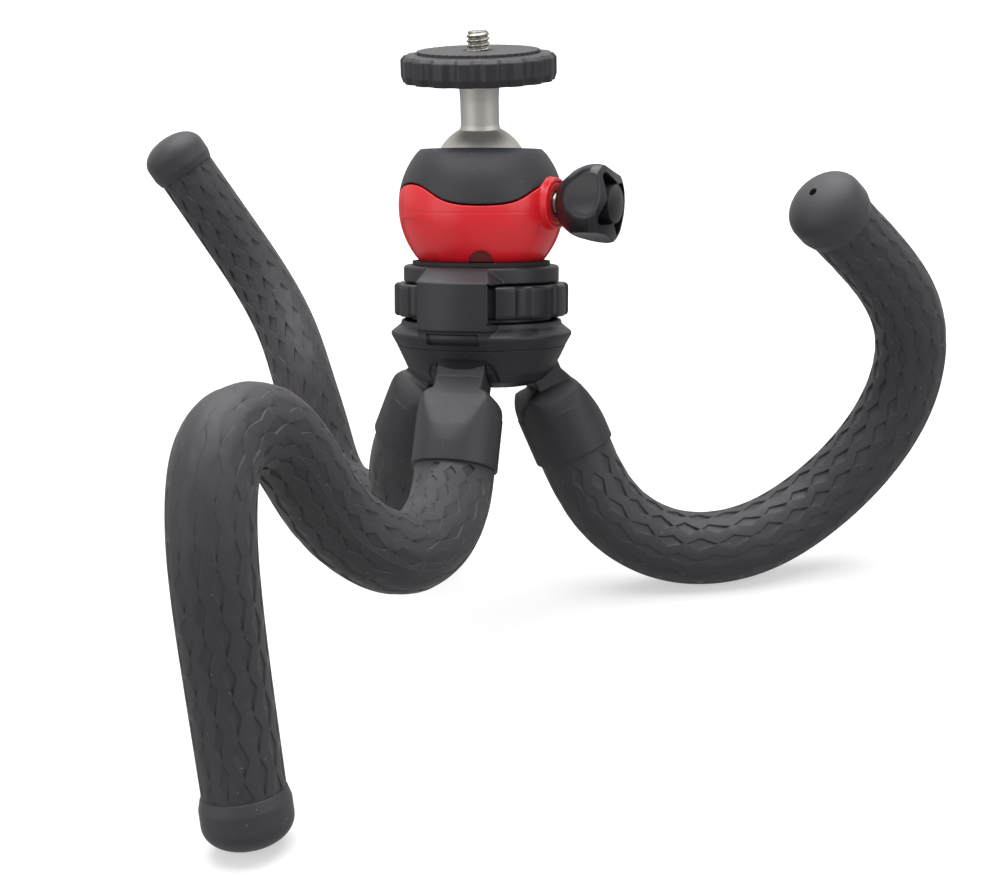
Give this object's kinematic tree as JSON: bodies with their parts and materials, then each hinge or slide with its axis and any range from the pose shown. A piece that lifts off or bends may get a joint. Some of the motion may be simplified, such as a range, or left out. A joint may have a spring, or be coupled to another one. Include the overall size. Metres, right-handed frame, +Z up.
{
  "type": "flexible leg tripod",
  "caption": "Table tripod with bendable scale-textured rubber legs on a hub, and a small ball head with a scalloped disc, red shell and locking knob.",
  "frame": {"origin": "on the floor, under the middle of the bounding box", "axes": "+Z up from the floor the tripod stands on, +Y away from the front foot towards the rear leg, +X towards the right leg"},
  "size_m": [0.23, 0.2502, 0.1567],
  "materials": {
    "hub_plastic": "moulded black ABS, satin",
    "wheel_plastic": "moulded black nylon, satin",
    "nylon": "natural nylon, matt",
    "steel": "turned steel, zinc plated",
    "washer_rubber": "sheet rubber, matt",
    "red_plastic": "moulded red ABS, semi-gloss",
    "collar_plastic": "moulded black ABS, satin",
    "brass": "turned brass",
    "nickel": "turned metal, satin nickel plated",
    "disc_plastic": "moulded black nylon, satin",
    "pad_rubber": "moulded rubber, grained",
    "knob_plastic": "moulded black ABS, semi-gloss",
    "socket_plastic": "moulded black nylon, satin",
    "sleeve_rubber": "moulded rubber with raised scales, matt",
    "foot_rubber": "moulded rubber, smooth matt",
    "core_aluminium": "soft drawn wire"
  },
  "bodies": {
    "hub": {"hub_shell": "hub_plastic", "lower_bowl": "hub_plastic", "wheel_washer": "wheel_plastic", "hinge_pin_front": "steel", "hinge_pin_right": "steel", "hinge_pin_rear": "steel"},
    "wheel": {"thumb_wheel": "wheel_plastic", "wheel_screw": "steel"},
    "washer": {"friction_washer": "washer_rubber"},
    "head": {"red_shell": "red_plastic", "head_collar": "collar_plastic", "base_insert": "brass", "knob_bush": "brass"},
    "seat": {"ball_seat": "nylon"},
    "stud": {"ball_stud": "nickel"},
    "platform": {"locking_disc": "disc_plastic", "rubber_pad": "pad_rubber", "camera_screw": "steel", "screw_clip": "steel"},
    "plug": {"clamp_plug": "nylon"},
    "knob": {"lock_knob": "knob_plastic", "knob_cap": "knob_plastic", "knob_stud": "steel"},
    "front_root": {"leg_socket_front": "socket_plastic", "sleeve_front_1": "sleeve_rubber", "core_front_1": "core_aluminium"},
    "front_near": {"sleeve_front_2": "sleeve_rubber", "core_front_2": "core_aluminium"},
    "front_far": {"sleeve_front_3": "sleeve_rubber", "core_front_3": "core_aluminium"},
    "front_tip": {"sleeve_front_4": "sleeve_rubber", "core_front_4": "core_aluminium", "foot_front": "foot_rubber"},
    "right_root": {"leg_socket_right": "socket_plastic", "sleeve_right_1": "sleeve_rubber", "core_right_1": "core_aluminium"},
    "right_near": {"sleeve_right_2": "sleeve_rubber", "core_right_2": "core_aluminium"},
    "right_far": {"sleeve_right_3": "sleeve_rubber", "core_right_3": "core_aluminium"},
    "right_tip": {"sleeve_right_4": "sleeve_rubber", "core_right_4": "core_aluminium", "foot_right": "foot_rubber"},
    "rear_root": {"leg_socket_rear": "socket_plastic", "sleeve_rear_1": "sleeve_rubber", "core_rear_1": "core_aluminium"},
    "rear_near": {"sleeve_rear_2": "sleeve_rubber", "core_rear_2": "core_aluminium"},
    "rear_far": {"sleeve_rear_3": "sleeve_rubber", "core_rear_3": "core_aluminium"},
    "rear_tip": {"sleeve_rear_4": "sleeve_rubber", "core_rear_4": "core_aluminium", "foot_rear": "foot_rubber"}
  },
  "joints": [
    {"name": "wheel_turn", "type": "hinge", "parent": "hub", "child": "wheel", "pos_m": [-0.01075, 0.01026, 0.07389], "axis": [-0.0988, -0.1712, -0.9803], "range_deg": [0, 1800]},
    {"name": "head_lift", "type": "slide", "parent": "hub", "child": "washer", "axis": [0.0988, 0.1712, 0.9803], "range_m": [0, 0.00635]},
    {"name": "head_pan", "type": "hinge", "parent": "washer", "child": "head", "pos_m": [-0.01075, 0.01026, 0.07389], "axis": [0.0988, 0.1712, 0.9803], "continuous": true},
    {"name": "ball_pan", "type": "hinge", "parent": "head", "child": "seat", "pos_m": [-0.00617, 0.0182, 0.11937], "axis": [0.0988, 0.1712, 0.9803], "continuous": true},
    {"name": "ball_tilt", "type": "hinge", "parent": "seat", "child": "stud", "pos_m": [-0.00617, 0.0182, 0.11937], "axis": [-0.9872, 0.1409, 0.0749], "range_deg": [-24, 43]},
    {"name": "disc_turn", "type": "hinge", "parent": "stud", "child": "platform", "pos_m": [-0.00617, 0.0182, 0.11937], "axis": [0.0766, 0.0066, 0.997], "continuous": true},
    {"name": "plug_slide", "type": "slide", "parent": "head", "child": "plug", "axis": [0.8786, -0.4775, -0.0052], "range_m": [0, 0.0012]},
    {"name": "knob_turn", "type": "hinge", "parent": "plug", "child": "knob", "pos_m": [-0.007, 0.01677, 0.11114], "axis": [0.8786, -0.4775, -0.0052], "range_deg": [0, 432]},
    {"name": "front_hinge", "type": "hinge", "parent": "hub", "child": "front_root", "pos_m": [-0.01541, -0.00537, 0.07178], "axis": [0.9589, -0.2796, -0.0478], "range_deg": [-8, 22]},
    {"name": "front_bend_1", "type": "hinge", "parent": "front_root", "child": "front_near", "pos_m": [-0.03393, -0.05225, 0.03958], "axis": [-0.754, 0.4445, -0.4836], "range_deg": [-25, 25], "deforming": ["sleeve_front_1", "sleeve_front_2"]},
    {"name": "front_bend_2", "type": "hinge", "parent": "front_near", "child": "front_far", "pos_m": [-0.05841, -0.07848, 0.08274], "axis": [0.8988, -0.4368, 0.036], "range_deg": [-25, 25], "deforming": ["sleeve_front_2", "sleeve_front_3"]},
    {"name": "front_bend_3", "type": "hinge", "parent": "front_far", "child": "front_tip", "pos_m": [-0.06979, -0.10906, 0.05086], "axis": [0.879, -0.4757, 0.0338], "range_deg": [-25, 25], "deforming": ["sleeve_front_3", "sleeve_front_4"]},
    {"name": "right_hinge", "type": "hinge", "parent": "hub", "child": "right_root", "pos_m": [0.00376, 0.01296, 0.06665], "axis": [-0.2492, 0.958, -0.1422], "range_deg": [-6, 24]},
    {"name": "right_bend_1", "type": "hinge", "parent": "right_root", "child": "right_near", "pos_m": [0.03396, 0.00452, 0.01259], "axis": [-0.0522, -0.9809, 0.1872], "range_deg": [-25, 25], "deforming": ["sleeve_right_1", "sleeve_right_2"]},
    {"name": "right_bend_2", "type": "hinge", "parent": "right_near", "child": "right_far", "pos_m": [0.08576, 0.00939, 0.02439], "axis": [0.3501, -0.889, -0.2952], "range_deg": [-25, 25], "deforming": ["sleeve_right_2", "sleeve_right_3"]},
    {"name": "right_bend_3", "type": "hinge", "parent": "right_far", "child": "right_tip", "pos_m": [0.10368, 0.00228, 0.07334], "axis": [0.2244, -0.9426, -0.2474], "range_deg": [-25, 25], "deforming": ["sleeve_right_3", "sleeve_right_4"]},
    {"name": "rear_hinge", "type": "hinge", "parent": "hub", "child": "rear_root", "pos_m": [-0.02215, 0.02052, 0.06794], "axis": [-0.7098, -0.6783, 0.19], "range_deg": [-1, 29]},
    {"name": "rear_bend_1", "type": "hinge", "parent": "rear_root", "child": "rear_near", "pos_m": [-0.04278, 0.04754, 0.01364], "axis": [0.8718, 0.4568, 0.1772], "range_deg": [-25, 25], "deforming": ["sleeve_rear_1", "sleeve_rear_2"]},
    {"name": "rear_bend_2", "type": "hinge", "parent": "rear_near", "child": "rear_far", "pos_m": [-0.06809, 0.08772, 0.02998], "axis": [0.9186, 0.3917, 0.052], "range_deg": [-25, 25], "deforming": ["sleeve_rear_2", "sleeve_rear_3"]},
    {"name": "rear_bend_3", "type": "hinge", "parent": "rear_far", "child": "rear_tip", "pos_m": [-0.0851, 0.11342, 0.07872], "axis": [0.8843, -0.0619, 0.4629], "range_deg": [-25, 25], "deforming": ["sleeve_rear_3", "sleeve_rear_4"]}
  ],
  "couplings": [
    {"joint": "wheel_turn", "follows": "head_lift", "rad_per_m": 4947.3},
    {"joint": "knob_turn", "follows": "plug_slide", "rad_per_m": 6283.1}
  ]
}
